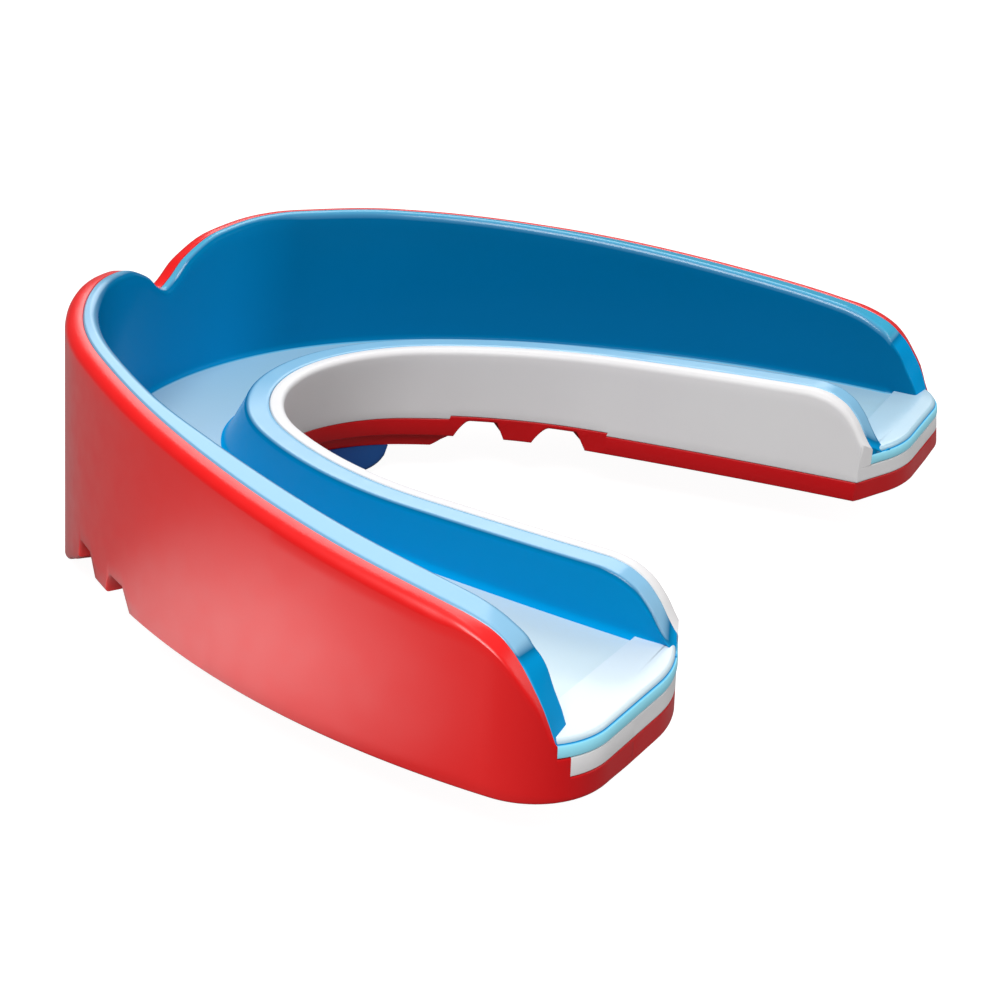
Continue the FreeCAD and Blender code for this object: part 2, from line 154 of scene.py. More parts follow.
# ---------------------------------------- curves and outlines
def curve(table, at):
    """Smooth curve through (position, value) points without overshoot."""
    if at <= table[0][0]:
        return table[0][1]
    if at >= table[-1][0]:
        return table[-1][1]
    index = max(i for i, point in enumerate(table[:-1]) if point[0] <= at)

    def slope(i):
        if i <= 0 or i >= len(table) - 1:
            return 0.0
        before = (table[i][1] - table[i - 1][1]) / (table[i][0] - table[i - 1][0])
        after = (table[i + 1][1] - table[i][1]) / (table[i + 1][0] - table[i][0])
        if before * after <= 0:
            return 0.0
        return 2 * before * after / (before + after)

    (x0, y0), (x1, y1) = table[index], table[index + 1]
    span = x1 - x0
    t = (at - x0) / span
    return (y0 * (2 * t ** 3 - 3 * t ** 2 + 1) + y1 * (3 * t ** 2 - 2 * t ** 3)
            + span * slope(index) * (t ** 3 - 2 * t ** 2 + t) + span * slope(index + 1) * (t ** 3 - t ** 2))


def broken(table, at):
    """Straight lines through (position, value) points."""
    for (x0, y0), (x1, y1) in zip(table, table[1:]):
        if at <= x1:
            return y0 + (y1 - y0) * max(0.0, at - x0) / (x1 - x0)
    return table[-1][1]


def follow(start, moves, reach, offset):
    """Point at a distance along arcs that begin on the midline at y = start."""
    x, y, heading = 0.0, start, 0.0
    for nominal, length, turn in moves:
        share = min(1.0, reach / nominal)
        bend = math.radians(turn) * share
        run = length * share + offset * bend
        reach -= nominal * share
        chord = run if abs(bend) < TINY else run * math.sin(bend / 2) / (bend / 2)
        x += chord * math.cos(heading + bend / 2)
        y += chord * math.sin(heading + bend / 2)
        heading += bend
        if reach <= TINY:
            return x, y
    return x + reach * math.cos(heading), y + reach * math.sin(heading)


def lean(low, high, turns, share):
    """Start and moves of an outline part of the way up."""
    moves = [(a, a + (b - a) * share, turn) for a, b, turn in zip(low[1], high[1], turns)]
    return low[0] + (high[0] - low[0]) * share, moves


def lip(a, z, inset):
    """Point on the lip side, or round the tip, set in from the outline."""
    start, moves = lean(LIP_LOW, LIP_HIGH, LIP_TURNS, z / LIP_SPAN)
    moves += [(length, length, turn) for length, turn in TIP]
    return follow(start + inset, moves, a, -inset)


def tongue(b, z, inset):
    """Point on the tongue side, set in from the outline."""
    start, moves = lean(TONGUE_LOW, TONGUE_HIGH, TONGUE_TURNS, z / TONGUE_SPAN)
    return follow(start - inset, moves, b, inset)


def clamp(value):
    return min(1.0, max(0.0, value))


def ease(share):
    """Smooth step from 0 to 1."""
    share = clamp(share)
    return share * share * (3 - 2 * share)


def between(u, v, share):
    return u + (v - u) * share


def blend(p, q, share):
    return tuple(between(u, v, share) for u, v in zip(p, q))


def rim_height(a, inset):
    """Height of the lip-side rim, which has a steeper inner edge at the tip."""
    level = curve(RIM, a)
    sloped = level + RIM_SLOPE * (inset - SHELL_WALL)
    wall = curve(TIP_WALL, a)
    cut = level + (curve(RIM_INNER, a) - level) * (inset - wall) / (curve(GEL_REACH, a) - wall)
    return between(sloped, cut, ease((a - CUT_START) / CUT_RUN))


def liner_point(a, z, inset):
    """Point in the lip-side liner, whose inner face runs straight on at the tip's corner."""
    if a <= LIP_END:
        return lip(a, z, inset)
    near = curve(TIP_WALL, a) + SKIN
    reach = curve(GEL_REACH, LIP_END)
    start, moves = lean(LIP_LOW, LIP_HIGH, LIP_TURNS, z / LIP_SPAN)
    straight = follow(start + reach, moves, LIP_END + LINER_RUN * (a - LIP_END), -reach)
    return blend(lip(a, z, near), straight, (inset - near) / (reach - near))


def tongue_edge(b, z, stand, inset):
    """Point on the tongue edge of a plate, which carries on round the tip to its middle.

    stand is how far the plate stands back from the tongue side for a wall.
    """
    end = TONGUE_END + SKEW * stand
    if b <= end:
        return tongue(min(b, end - MITER * inset), z, stand + inset)
    left = max(b - end, MITER * inset)
    flat = CHAMFER - SLANT * stand
    if left >= flat:
        return lip(TIP_END - (left - flat), z, inset)
    first = Vector(tongue(TONGUE_END, z, 0.0))
    last = Vector(lip(TIP_END, z, 0.0))
    way = (last - first).normalized()
    run = SLANT * stand + ((last - first).length - SLANT * stand) * left / flat
    return first.x + way.x * run + way.y * inset, first.y + way.y * run - way.x * inset


def tongue_rim(b, inset=0.0):
    """Height of the tongue-side rim."""
    return curve(TONGUE_RIM, tongue(b, TONGUE_RIM_LEVEL, inset)[1])


def wall_reach(b, inset):
    """Distance along the tongue side that ends on the flat at the tip at every inset."""
    return b + SKEW * inset * ease((b - TONGUE_END + SHEAR_RUN) / SHEAR_RUN)


def wall_point(b, z, inset, rim, foot):
    """Point in a tongue-side wall between its foot and its rim.

    rim is the rim's height at b.  The point is moved as far as the rim at its own place is.
    """
    along = wall_reach(b, inset)
    top = tongue_rim(along, inset)
    share = clamp((z - foot) / max(THIN, rim - foot))
    z += (top - rim) * share
    x, y = tongue(along, z, inset)
    return x, y, z


def tongue_total(stand):
    """Length of a plate's tongue edge from the midline to the middle of the tip."""
    return TONGUE_END + (SKEW - SLANT) * stand + CHAMFER + TIP_END - TIP_MIDDLE


def rounded(start, corner, end, steps=3):
    """Quarter round from start to end, tangent to the lines through the corner."""
    points = []
    for i in range(steps + 1):
        angle = math.pi / 2 * i / steps
        points.append(tuple(c + (s - c) * (1 - math.sin(angle)) + (e - c) * (1 - math.cos(angle))
                            for s, c, e in zip(start, corner, end)))
    return points


def spread(low, high, step):
    """Evenly spaced values from low to high, no further apart than step."""
    count = max(1, math.ceil((high - low) / step - TINY))
    return [low + (high - low) * i / count for i in range(count + 1)]


# ---------------------------------------- building meshes
FAR_SHADE_START = 14.0           # painted shade: the far side's deeper cyan comes in across the front
FAR_SHADE_RUN = 22.0
MERGE = 1e-7                     # in metres
SHARP = 32.0                     # edges that turn by more degrees stay sharp
STATION_STEP = 0.55              # largest spacing of stations
NUDGE = 0.015                    # how far past an abrupt step a section looks to pick its side
SAME = 1e-6                      # distances closer than this are one station
SEARCH = (5.0, 40.0)             # where the channels cross both sides
HALVINGS = 40
# Distances (lip side, tongue side) that pair up near the tip; the first three count back
# from the end of the tongue side, the others from the middle of the tip.
BEFORE_END = ((LIP_END, 2.1), (WRAP_GEL, 0.6), (WRAP_FRAME, 0.1))
BEFORE_MIDDLE = ((CORNER_END, 5.6), (CORNER_END + 1.6, 2.6), (TIP_MIDDLE, 0.0))
BITE_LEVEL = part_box("shock_frame")[0].z / MM - BASE_TOP
SHELL_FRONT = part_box("outer_shell")[0].y / MM
FRONT = SHELL_FRONT - (LIP_HIGH[0] - LIP_LOW[0]) * -BITE_LEVEL / LIP_SPAN


def to_frame(point):
    """Point in the bite frame, as metres in the shared frame."""
    return Vector((point[0], point[1] + FRONT, point[2] + BITE_LEVEL)) * MM


def sweep(bm, rings, far_shade=0.0):
    """Skin closed sections and their mirror image; a section is a list of ((x, y, z), tone)."""
    for name in ("tone", "depth"):
        if name not in bm.verts.layers.float:
            bm.verts.layers.float.new(name)
    tone = bm.verts.layers.float["tone"]
    depth = bm.verts.layers.float["depth"]
    flipped = [[((-p[0], p[1], p[2]), shade) for p, shade in ring] for ring in rings[:0:-1]]
    loops = []
    for ring in flipped + list(rings):
        verts = []
        for place, shade in ring:
            vert = bm.verts.new(to_frame(place))
            vert[tone] = shade
            # painted shade: the mirrored far side gets a deeper cyan on its rims and floor, kept in the
            # depth attribute
            across = ease((FAR_SHADE_START - place[0]) / FAR_SHADE_RUN)
            vert[depth] = far_shade * across * (1 - ease(shade - RIM_TONE))
            verts.append(vert)
        loops.append(verts)
    count = len(loops[0])
    for near, far in zip(loops, loops[1:]):
        for i in range(count):
            j = (i + 1) % count
            bm.faces.new((near[i], near[j], far[j], far[i]))
    bm.faces.new(loops[0][::-1])
    bm.faces.new(loops[-1])


def add_object(name, data):
    made = bpy.data.objects.new(name, data)
    bpy.context.scene.collection.objects.link(made)
    return made


def make_object(name, bm):
    bmesh.ops.remove_doubles(bm, verts=bm.verts, dist=MERGE)
    bmesh.ops.dissolve_degenerate(bm, edges=bm.edges, dist=MERGE)
    bmesh.ops.recalc_face_normals(bm, faces=bm.faces)
    mesh = bpy.data.meshes.new(name)
    bm.to_mesh(mesh)
    bm.free()
    mesh.shade_smooth()
    mesh.set_sharp_from_angle(angle=math.radians(SHARP))
    piece = add_object(name, mesh)
    weighted = piece.modifiers.new("even_shading", "WEIGHTED_NORMAL")
    weighted.keep_sharp = True
    return piece


def across_channels(x, y):
    """Distance from the bite frame's origin, square to the shock channels."""
    return x * math.cos(CHANNEL_TURN) + y * math.sin(CHANNEL_TURN)


def crossing(path, value):
    """Distance along a side where it crosses a line along the shock channels."""
    low, high = SEARCH
    for _ in range(HALVINGS):
        middle = (low + high) / 2
        if across_channels(*path(middle)) < value:
            low = middle
        else:
            high = middle
    return (low + high) / 2


def channel_pair(value):
    """The same line's places on the lip side and on the tongue side."""
    on_lip = crossing(lambda a: lip(a, 0.0, 0.0), value)
    return on_lip, crossing(lambda b: tongue(b, 0.0, 0.0), value)


def pairs_for(stand):
    """Matching distances along the lip side and the tongue side of a plate."""
    marks = sorted({p for profile in CHANNELS for p in profile} | set(BRIDGE))
    total = tongue_total(stand)
    table = [(0.0, 0.0)]
    table += [channel_pair(value) for value in marks]
    table += [(a, TONGUE_END - back) for a, back in BEFORE_END]
    table += [(a, total - back) for a, back in BEFORE_MIDDLE]
    return table


def lip_match(table, b):
    """Distance along the lip side that belongs to one along the tongue side."""
    return broken([(along_tongue, along_lip) for along_lip, along_tongue in table], b)


def stations(table, extra=()):
    """(a, b) distances along both sides, with a station at every table and extra value."""
    marks = sorted({a for a, b in table} | set(extra))
    spots = [0.0]
    for low, high in zip(marks, marks[1:]):
        span = max(high - low, broken(table, high) - broken(table, low))
        count = max(1, math.ceil(span / STATION_STEP))
        spots += [low + (high - low) * (i + 1) / count for i in range(count)]
    return [(a, broken(table, a)) for a in spots]


# ---------------------------------------- rows of a section
# A row is (side, inset, height).  A side between LIP_SIDE and TONGUE_SIDE is a share of
# the way across; WALL_SIDE is the tongue-side wall.
LIP_SIDE, TONGUE_SIDE, WALL_SIDE = 0, 1, 2


def turn_rows(side, start, corner, end, steps=3, stand=0.0):
    """Rows of a quarter round, given as (inset, height) points."""
    return [(side, stand + inset, z) for inset, z in rounded(start, corner, end, steps)]


def rise_rows(side, inset, low, high, count):
    """Rows evenly spaced between two heights, without those heights."""
    return [(side, inset, between(low, high, i / (count + 1))) for i in range(1, count + 1)]


def plate_point(a, b, row, middle):
    """Point of a plate's row; rows across the plate run between the two insets in middle."""
    line, inset, z = row
    if line == LIP_SIDE:
        return lip(a, z, inset)
    if line == TONGUE_SIDE:
        return tongue_edge(b, z, 0.0, inset)
    return blend(lip(a, z, middle[0]), tongue_edge(b, z, 0.0, middle[1]), line)


def plate_top(across):
    """Top of the red plate, which is higher over the shock channels."""
    return BRIDGE_TOP if BRIDGE[0] < across < BRIDGE[1] else BASE_TOP


# ---------------------------------------- red outer shell
EDGE = 0.12                      # rounding of the edges
LIP_FOOT = 0.22                  # rounding of the lower edge on the lip side
FOOT_RUN = 2.5                   # run over which that rounding becomes the plain one
STEP_FOOT = 0.28                 # inset where the step under the front begins
STEP_DOWN = 0.45                 # inset where it is down to its depth
STEP_LEVEL = 0.6                 # inset of the row after that
# Back of the bumper: inset past BUMPER_WALL, share of the way down.
BUMPER_BACK = ((0.25, 0.0), (0.0, 0.0), (-0.15, 0.8), (-0.5, 1.0))
BUMPER_LEVEL = 0.6               # inset of the last row under the bumper
SIDE_ROWS = 12
RIM_TURN = (0.5, 0.6)            # drop and width of the rim's rounding towards the lips
FACET_EDGE = 0.2                 # largest rounding of the facet at the tip
FACET_SHARE = 0.4                # and its share of the wall
# Inner half of the rim: share of the wall, drop below the rim.
RIM_BACK = ((0.7, 0.0), (0.86, 0.0), (0.96, 0.02), (1.0, 0.08))
SHELL_MIDDLE = (1.2, 0.6)        # insets between which the rows across the plate run
EDGE_SPACING = 0.05              # between the rows that fill up a plain edge
TIP_SHADE_START = 60.0                # painted shade: the outer face darkens near the tip
TIP_SHADE_RUN = 6.0
# Closer stations: from, to and spacing.
SHELL_FINE = ((0.0, 3.0, 0.25), (15.0, 24.0, 0.4), (CUT_START, WRAP_FRAME, 0.3))
CHANNEL_SPACING = 0.12


def channel_roof(across):
    """Height of the underside, which rises in the shock channels."""
    for foot, shoulder, crown, heel in CHANNELS:
        if foot < across <= shoulder:
            share = (across - foot) / (shoulder - foot)
            return CHANNEL_ROOF * math.sin(math.pi / 2 * share) ** CHANNEL_SWELL
        if shoulder < across <= crown:
            return CHANNEL_ROOF
        if crown < across < heel:
            return CHANNEL_ROOF * (heel - across) / (heel - crown)
    return 0.0


def lip_wall_rows(a, at, low, top):
    """Rows up the outside of the lip-side wall, over its rim and down to the plate."""
    beside_gel = at < WRAP_GEL
    wall = curve(TIP_WALL, a) if beside_gel else SHELL_WALL
    rim = rim_height(a, wall) if beside_gel else FRAME_TOP
    facet = ease((a - CUT_START) / FACET_RUN) if beside_gel else 0.0
    crease = between(rim, curve(CREASE, a), facet)
    slope = RIM_SLOPE * (1 - facet) if beside_gel else 0.0

    def rim_at(inset):
        return between(crease, rim, inset / wall) + slope * (inset - wall)

    depth, width = RIM_TURN if beside_gel else (EDGE, EDGE)
    facet_edge = min(FACET_EDGE, wall * FACET_SHARE)
    high = between(rim_at(0.0) - depth, crease - EDGE, facet)
    corner = between(rim_at(0.0), crease, facet)
    flat = blend((width, rim_at(width)), (facet_edge, rim_at(facet_edge)), facet)
    rows = rise_rows(LIP_SIDE, 0.0, low, high, SIDE_ROWS)
    rows += turn_rows(LIP_SIDE, (0.0, high), (0.0, corner), flat, 5)
    rows += [(LIP_SIDE, wall * share, rim_at(wall * share) - drop) for share, drop in RIM_BACK]
    rows.append((LIP_SIDE, wall, FRAME_TOP - 2 * LAYER))
    rows += [(LIP_SIDE, SHELL_WALL, FRAME_TOP - 3 * LAYER), (LIP_SIDE, SHELL_WALL, top)]
    return rows


def lip_edge_rows(low, top):
    """Rows of the plate's plain edge round the tip, as many as a wall has."""
    rows = rise_rows(LIP_SIDE, 0.0, low, top - EDGE, SIDE_ROWS)
    rows += turn_rows(LIP_SIDE, (0.0, top - EDGE), (0.0, top), (EDGE, top), 5)
    rows += [(LIP_SIDE, EDGE + EDGE_SPACING * i, top) for i in range(1, 8)]
    return rows


def shell_section(a, b, side):
    """Section of the shell; side is -1 or 1 at an abrupt step, to pick its side."""
    at = a + side * NUDGE
    across = across_channels(*lip(at, 0.0, 0.0))
    roof = channel_roof(across)
    top = plate_top(across)
    under = roof - STEP_DEPTH * clamp((STEP_END - a) / STEP_RUN) ** STEP_SWELL
    bumper = min(under, broken(BUMPER_EDGE, a)) if a < BUMPER_END else under
    rows = turn_rows(TONGUE_SIDE, (0.0, roof + EDGE), (0.0, roof), (EDGE, roof))
    rows += [(TONGUE_SIDE, STEP_FOOT, roof), (TONGUE_SIDE, STEP_DOWN, under)]
    rows += [(TONGUE_SIDE, STEP_LEVEL, under), (0.5, 0.0, under)]
    rows += [(LIP_SIDE, BUMPER_WALL + past, between(under, bumper, share)) for past, share in BUMPER_BACK]
    rows.append((LIP_SIDE, BUMPER_LEVEL, bumper))
    foot = between(LIP_FOOT, EDGE, ease((a - CORNER_END) / FOOT_RUN))
    low = bumper + foot
    rows += turn_rows(LIP_SIDE, (foot, bumper), (0.0, bumper), (0.0, low))
    rows += lip_wall_rows(a, at, low, top) if at < WRAP_FRAME else lip_edge_rows(low, top)
    rows += [(0.3, 0.0, top), (0.7, 0.0, top)]
    rows += turn_rows(TONGUE_SIDE, (EDGE, top), (0.0, top), (0.0, top - EDGE))
    ring = []
    for row in rows:
        x, y = plate_point(a, b, row, SHELL_MIDDLE)
        # painted shade: the lip face near the tip, the tongue side and the underside get the darker red
        shade = clamp((a - TIP_SHADE_START) / TIP_SHADE_RUN) if row[0] == LIP_SIDE else 1.0
        ring.append(((x, y, row[2]), shade))
    return ring


def doubled(spots, jumps):
    """Stations with a side, doubled where a section changes abruptly."""
    out = []
    for a, b in spots:
        if any(abs(a - jump) < SAME for jump in jumps):
            out += [(a, b, -1), (a, b, 1)]
        else:
            out.append((a, b, 0))
    return out


def make_outer_shell():
    bm = bmesh.new()
    table = pairs_for(0.0)
    jumps = [channel_pair(value)[0] for value in BRIDGE] + [WRAP_GEL, WRAP_FRAME]
    fine = [a for run in SHELL_FINE for a in spread(*run)]
    for foot, shoulder, crown, heel in CHANNELS:
        fine += spread(channel_pair(foot)[0], channel_pair(shoulder)[0], CHANNEL_SPACING)
    rings = [shell_section(*spot) for spot in doubled(stations(table, fine), jumps)]
    sweep(bm, rings)
    return make_object("outer_shell_skin", bm)


# ---------------------------------------- white shock frame
FRAME_EDGE = 0.07                # rounding of the plate
FRAME_FILLET = 0.42              # rounding of the wall's rim
FRAME_MIDDLE = (0.3, 0.6)        # insets between which the rows across the plate run
# Gel side of the rim: distance from the wall's face, drop below the rim.
FRAME_RIM_BACK = ((0.0, 0.1), (0.05, 0.02), (0.15, 0.0))
FRAME_FLAT = 0.5                 # inset of the first row that fills up the plain edge
FRAME_FINE = (55.0, 0.3)         # closer stations from here to the wall's end: start, spacing


def frame_wall_rows(rim, low):
    """Rows up the gel side of the tongue-side wall, over its rim and down."""
    fillet = min(FRAME_FILLET, (rim - FRAME_TOP) / 2)
    rows = [(WALL_SIDE, FRAME_WALL, FRAME_TOP), (WALL_SIDE, FRAME_WALL, (FRAME_TOP + rim) / 2)]
    rows += [(WALL_SIDE, FRAME_WALL - off, max(FRAME_TOP, rim - drop)) for off, drop in FRAME_RIM_BACK]
    rows += turn_rows(WALL_SIDE, (fillet, rim), (0.0, rim), (0.0, rim - fillet), 5)
    rows += rise_rows(TONGUE_SIDE, 0.0, rim - fillet, low + FRAME_EDGE, 7)
    return rows


def frame_edge_rows(low):
    """Rows of the plate's plain edge round the tip, as many as a wall has."""
    high = FRAME_TOP - FRAME_EDGE
    rows = [(TONGUE_SIDE, FRAME_FLAT - EDGE_SPACING * i, FRAME_TOP) for i in range(5)]
    rows += turn_rows(TONGUE_SIDE, (FRAME_EDGE, FRAME_TOP), (0.0, FRAME_TOP), (0.0, high), 5)
    rows += rise_rows(TONGUE_SIDE, 0.0, high, low + FRAME_EDGE, 7)
    return rows


def frame_section(a, b, side):
    """Section of the plate with the tongue-side wall; side is as for the shell."""
    at = a + side * NUDGE
    low = plate_top(across_channels(*lip(at, 0.0, 0.0))) + LAYER
    stand = SHELL_WALL + SKIN if at < WRAP_FRAME else 0.0
    past_wall = b + side * NUDGE > TONGUE_END + SAME
    rim = FRAME_TOP if past_wall else tongue_rim(b)
    foot = low + FRAME_EDGE
    rows = turn_rows(TONGUE_SIDE, (0.0, foot), (0.0, low), (FRAME_EDGE, low))
    rows.append((0.5, 0.0, low))
    rows += turn_rows(LIP_SIDE, (FRAME_EDGE, low), (0.0, low), (0.0, foot), 3, stand)
    rows += turn_rows(LIP_SIDE, (0.0, FRAME_TOP - FRAME_EDGE), (0.0, FRAME_TOP),
                      (FRAME_EDGE, FRAME_TOP), 3, stand)
    rows.append((0.4, 0.0, FRAME_TOP))
    rows += frame_wall_rows(rim, low) if b <= TONGUE_END + SAME else frame_edge_rows(low)
    ring = []
    for line, inset, z in rows:
        if line != WALL_SIDE:
            middle = (stand + FRAME_MIDDLE[0], FRAME_MIDDLE[1])
            x, y = plate_point(a, b, (line, inset, z), middle)
        elif past_wall:
            x, y = tongue(wall_reach(b, inset), z, inset)
        else:
            x, y, z = wall_point(b, z, inset, rim, FRAME_TOP)
            z = max(z, low)
        ring.append(((x, y, z), 0.0))
    return ring


def make_shock_frame():
    bm = bmesh.new()
    table = pairs_for(0.0)
    wall_end = lip_match(table, TONGUE_END)
    jumps = [channel_pair(value)[0] for value in BRIDGE] + [WRAP_FRAME, wall_end]
    start, spacing = FRAME_FINE
    fine = spread(start, wall_end, spacing)
    rings = [frame_section(*spot) for spot in doubled(stations(table, fine), jumps)]
    sweep(bm, rings)
    return make_object("shock_frame_skin", bm)


# ---------------------------------------- blue gel liner
# Tones of the gel: what lies behind it and how it is seen, with painted shade in the tooth recess and in
# the groove above the bead.
OVER_WHITE, RECESS_SHADE_TONE, RIM_TONE, OVER_RED, TONGUE_FACE, BEAD = 0.0, 0.5, 1.0, 2.0, 3.0, 4.0
FLOOR_TURN = 0.24                # rounding at the top of the floor's edge
GROOVE_DROP = 0.3                # the groove above the bead lies this far below the top
GROOVE_INSET = 0.1
GROOVE_HEIGHT = 0.05
FLOOR_FLAT = GROOVE_INSET + FLOOR_TURN
# Bead from its foot up: inset, height above the foot.
BEAD_FOOT = ((0.08, 0.0), (-0.02, 0.06), (-0.05, 0.2))
# Bead below the groove: inset, drop below the groove.
BEAD_HEAD = ((-0.05, 0.16), (0.0, 0.04))
FLOOR_BREAK = 61.9               # the recess ends here
FRONT_TONE = 0.65                # the floor is a little bluer at the front
FRONT_TONE_END = 15.0
FRONT_TONE_RUN = 30.0
# Painted shade: how strongly each part of the gel is painted a deeper cyan on the far side.
FLOOR_FAR_SHADE = 0.35
LIP_FAR_SHADE = 0.85
TONGUE_FAR_SHADE = 0.08


def floor_edge(low, top):
    """Rows of the bead and groove at the edge of the gel floor: inset, height, tone."""
    groove = top - GROOVE_DROP
    rows = [(inset, low + rise, BEAD) for inset, rise in BEAD_FOOT]
    rows += [(inset, groove - drop, BEAD) for inset, drop in BEAD_HEAD]
    # painted shade: the groove is painted the deeper blue of the tongue face
    rows += [(GROOVE_INSET, groove, TONGUE_FACE), (GROOVE_INSET, groove + GROOVE_HEIGHT, TONGUE_FACE)]
    turn = rounded((GROOVE_INSET, top - FLOOR_TURN), (GROOVE_INSET, top), (FLOOR_FLAT, top), 4)
    rows += [(inset, z, OVER_WHITE + TONGUE_FACE * (FLOOR_FLAT - inset)) for inset, z in turn]
    return rows


def floor_tone(a):
    """Tone of the floor's top, with painted shade over the tooth recess."""
    if a >= FLOOR_BREAK:
        return OVER_WHITE
    return between(FRONT_TONE, RECESS_SHADE_TONE, ease((a - FRONT_TONE_END) / FRONT_TONE_RUN))


def floor_section(a, b, side):
    """Gel floor: a plate with a rounded bead where its edge shows at the tip."""
    at = a + side * NUDGE
    stand = curve(TIP_WALL, a) + SKIN if at < WRAP_GEL else 0.0
    back = FRAME_WALL + SKIN
    low = FRAME_TOP + LAYER
    top = broken(FLOOR, a)
    on_wall = b <= TONGUE_END + SKEW * back + SAME
    edge = floor_edge(low, top)
    rows = [(LIP_SIDE, inset, z, shade) for inset, z, shade in edge]
    rows += [(i / 10, 0.0, top, floor_tone(a)) for i in range(1, 10)]
    rows += [(TONGUE_SIDE, inset, z, shade) for inset, z, shade in edge[::-1]]
    rows.append((0.5, 0.0, low, OVER_WHITE))
    ring = []
    for line, inset, z, tone in rows:
        if line == LIP_SIDE:
            x, y = lip(a, z, stand + max(inset, 0.0) if stand else inset)
        elif line == TONGUE_SIDE and on_wall:
            z = top if z > top - GROOVE_DROP else z
            x, y = tongue_edge(b, z, back, max(inset, 0.0))
        elif line == TONGUE_SIDE:
            x, y = tongue_edge(b, z, back, inset)
        else:
            x, y = blend(lip(a, z, stand + FLOOR_FLAT), tongue_edge(b, z, back, FLOOR_FLAT), line)
        ring.append(((x, y, z), tone))
    return ring


LINER_FOOT = 0.1                 # the linings start this far above the white plate
LINER_LIFT = 0.06                # width of the rounding at the back of a rim
LIP_RIM_POINTS = 15
CUT_PLACE = 61.2                 # from here the lip-side lining has sharper edges
CUT_LENGTH = 0.9
CUT_TIP = 64.3                   # end of the lip-side lining
SINK = 0.08                      # a low rim ends this far under the floor
CUT_SINK = 0.7                   # and this much further at the cut
BACK_DROP = 0.08                 # the rim's back ends this far below it
LINER_EDGE = (0.5, 0.2)          # rounding of the rim before and at the cut
LINER_FILLET = (0.45, 0.12)      # rounding at the floor before and at the cut
CUT_TINT = 0.15                  # the cut is a little darker than the tongue side
BACK_SHADE = (0.35, 0.25)         # painted shade: deeper tones of the two rows at the back of the rim, along the seam with the red wall
RIM_DROP = 0.02                  # how far the second of them lies below the rim
FRONT_PAINTED_LIGHT = 0.5                 # painted light: the inner face is a lighter blue at the front, where light falls on it
FRONT_LIGHT_END = 13.0
FRONT_LIGHT_RUN = 8.0
ROUNDED_SHARE = 0.4              # largest share of a low wall that is rounded
LIP_LEAN = 0.14                  # the inner face's foot is this much further in
FACE_LAP = 0.02                  # the rim's rounding runs this far into the inner face
BELOW = 0.03                     # how far a lining's fillet dips under the floor
TURN_SHARES = (0.3, 0.55, 0.7, 0.8, 0.85, 1.0)   # change of tone over the rim's rounding


def lip_liner_section(a):
    """Section of the lining of the lip-side wall."""
    reach = curve(GEL_REACH, min(a, LIP_END))
    floor = FLOOR_RECESS
    start = curve(TIP_WALL, a) + SKIN
    low = FRAME_TOP + LINER_FOOT
    tip = ease((a - CUT_PLACE) / CUT_LENGTH)
    buried = floor - SINK - CUT_SINK * tip
    edge = between(*LINER_EDGE, tip)
    foot = between(*LINER_FILLET, tip)
    flat_end = reach - edge
    inner = max(buried, rim_height(a, flat_end))
    rim_tone = between(RIM_TONE, TONGUE_FACE - CUT_TINT, tip)
    # painted light: the inner face turns a lighter blue towards the front
    front = ease((FRONT_LIGHT_END - a) / FRONT_LIGHT_RUN)
    side_tone = between(OVER_RED, TONGUE_FACE, FRONT_PAINTED_LIGHT * front)

    rows = [(start, low, RIM_TONE)]
    # painted shade along the seam with the red wall
    rows.append((start, max(buried, rim_height(a, start)) - BACK_DROP, rim_tone + BACK_SHADE[0]))
    for i in range(LIP_RIM_POINTS + 1):
        inset = between(start + LINER_LIFT, flat_end, i / LIP_RIM_POINTS)
        z = max(buried, rim_height(a, inset))
        rows.append((inset, z, rim_tone) if i else (inset, z - RIM_DROP, rim_tone + BACK_SHADE[1]))
    side = min(edge, max(0.0, (inner - floor) * ROUNDED_SHARE))
    turn = rounded((flat_end, inner), (reach, inner), (reach + FACE_LAP, inner - side), 6)
    rows += [(inset, z, between(rim_tone, side_tone, share))
             for (inset, z), share in zip(turn[1:], TURN_SHARES)]
    foot = min(foot, max(0.0, (inner - floor) * ROUNDED_SHARE))
    top, bottom = inner - side, min(inner, floor + foot)
    for i in range(1, 12):
        share = i / 12
        rows.append((reach + FACE_LAP + LIP_LEAN * share, between(top, bottom, share), side_tone))
    base = reach + FACE_LAP + LIP_LEAN
    level = min(inner, floor)
    turn = rounded((base, bottom), (base, level), (base + foot, level - BELOW), 5)
    # below the fillet the lining takes the floor's painted recess shade
    rows += [(inset, z, side_tone if i < 4 else RECESS_SHADE_TONE) for i, (inset, z) in enumerate(turn)]
    rows.append((base + foot, low, OVER_WHITE))
    ring = []
    for inset, z, tone in rows:
        x, y = liner_point(a, z, inset)
        ring.append(((x, y, z), tone))
    return ring


TONGUE_GEL = 1.94                # how far in the tongue lining's face stands at the bite level
TONGUE_LEAN = 0.7                # and how much further TONGUE_SPAN above it
TONGUE_EDGE = 0.34
TONGUE_FILLET = 0.45
TALL = (1.2, 1.4)                # heights over the floor for the full rounding and fillet
LOW_SHARE = 0.3                  # share of a lower wall that is rounded
LEAST = (0.03, 0.02)             # smallest rounding and fillet
FLARE = 1.15                     # the lining's foot spreads at the front
FLARE_END = 14.0
TONGUE_TINT = 0.9                # the rim is bluer where it comes down at the tip
TONGUE_TINT_LEVEL = 5.6
TONGUE_TINT_RUN = 1.2
TONGUE_BACK_DROP = 0.1           # the rim's back ends this far below it


def tongue_face(z):
    """Inset of the tongue-side lining's inner face."""
    return TONGUE_GEL + TONGUE_LEAN * z / TONGUE_SPAN


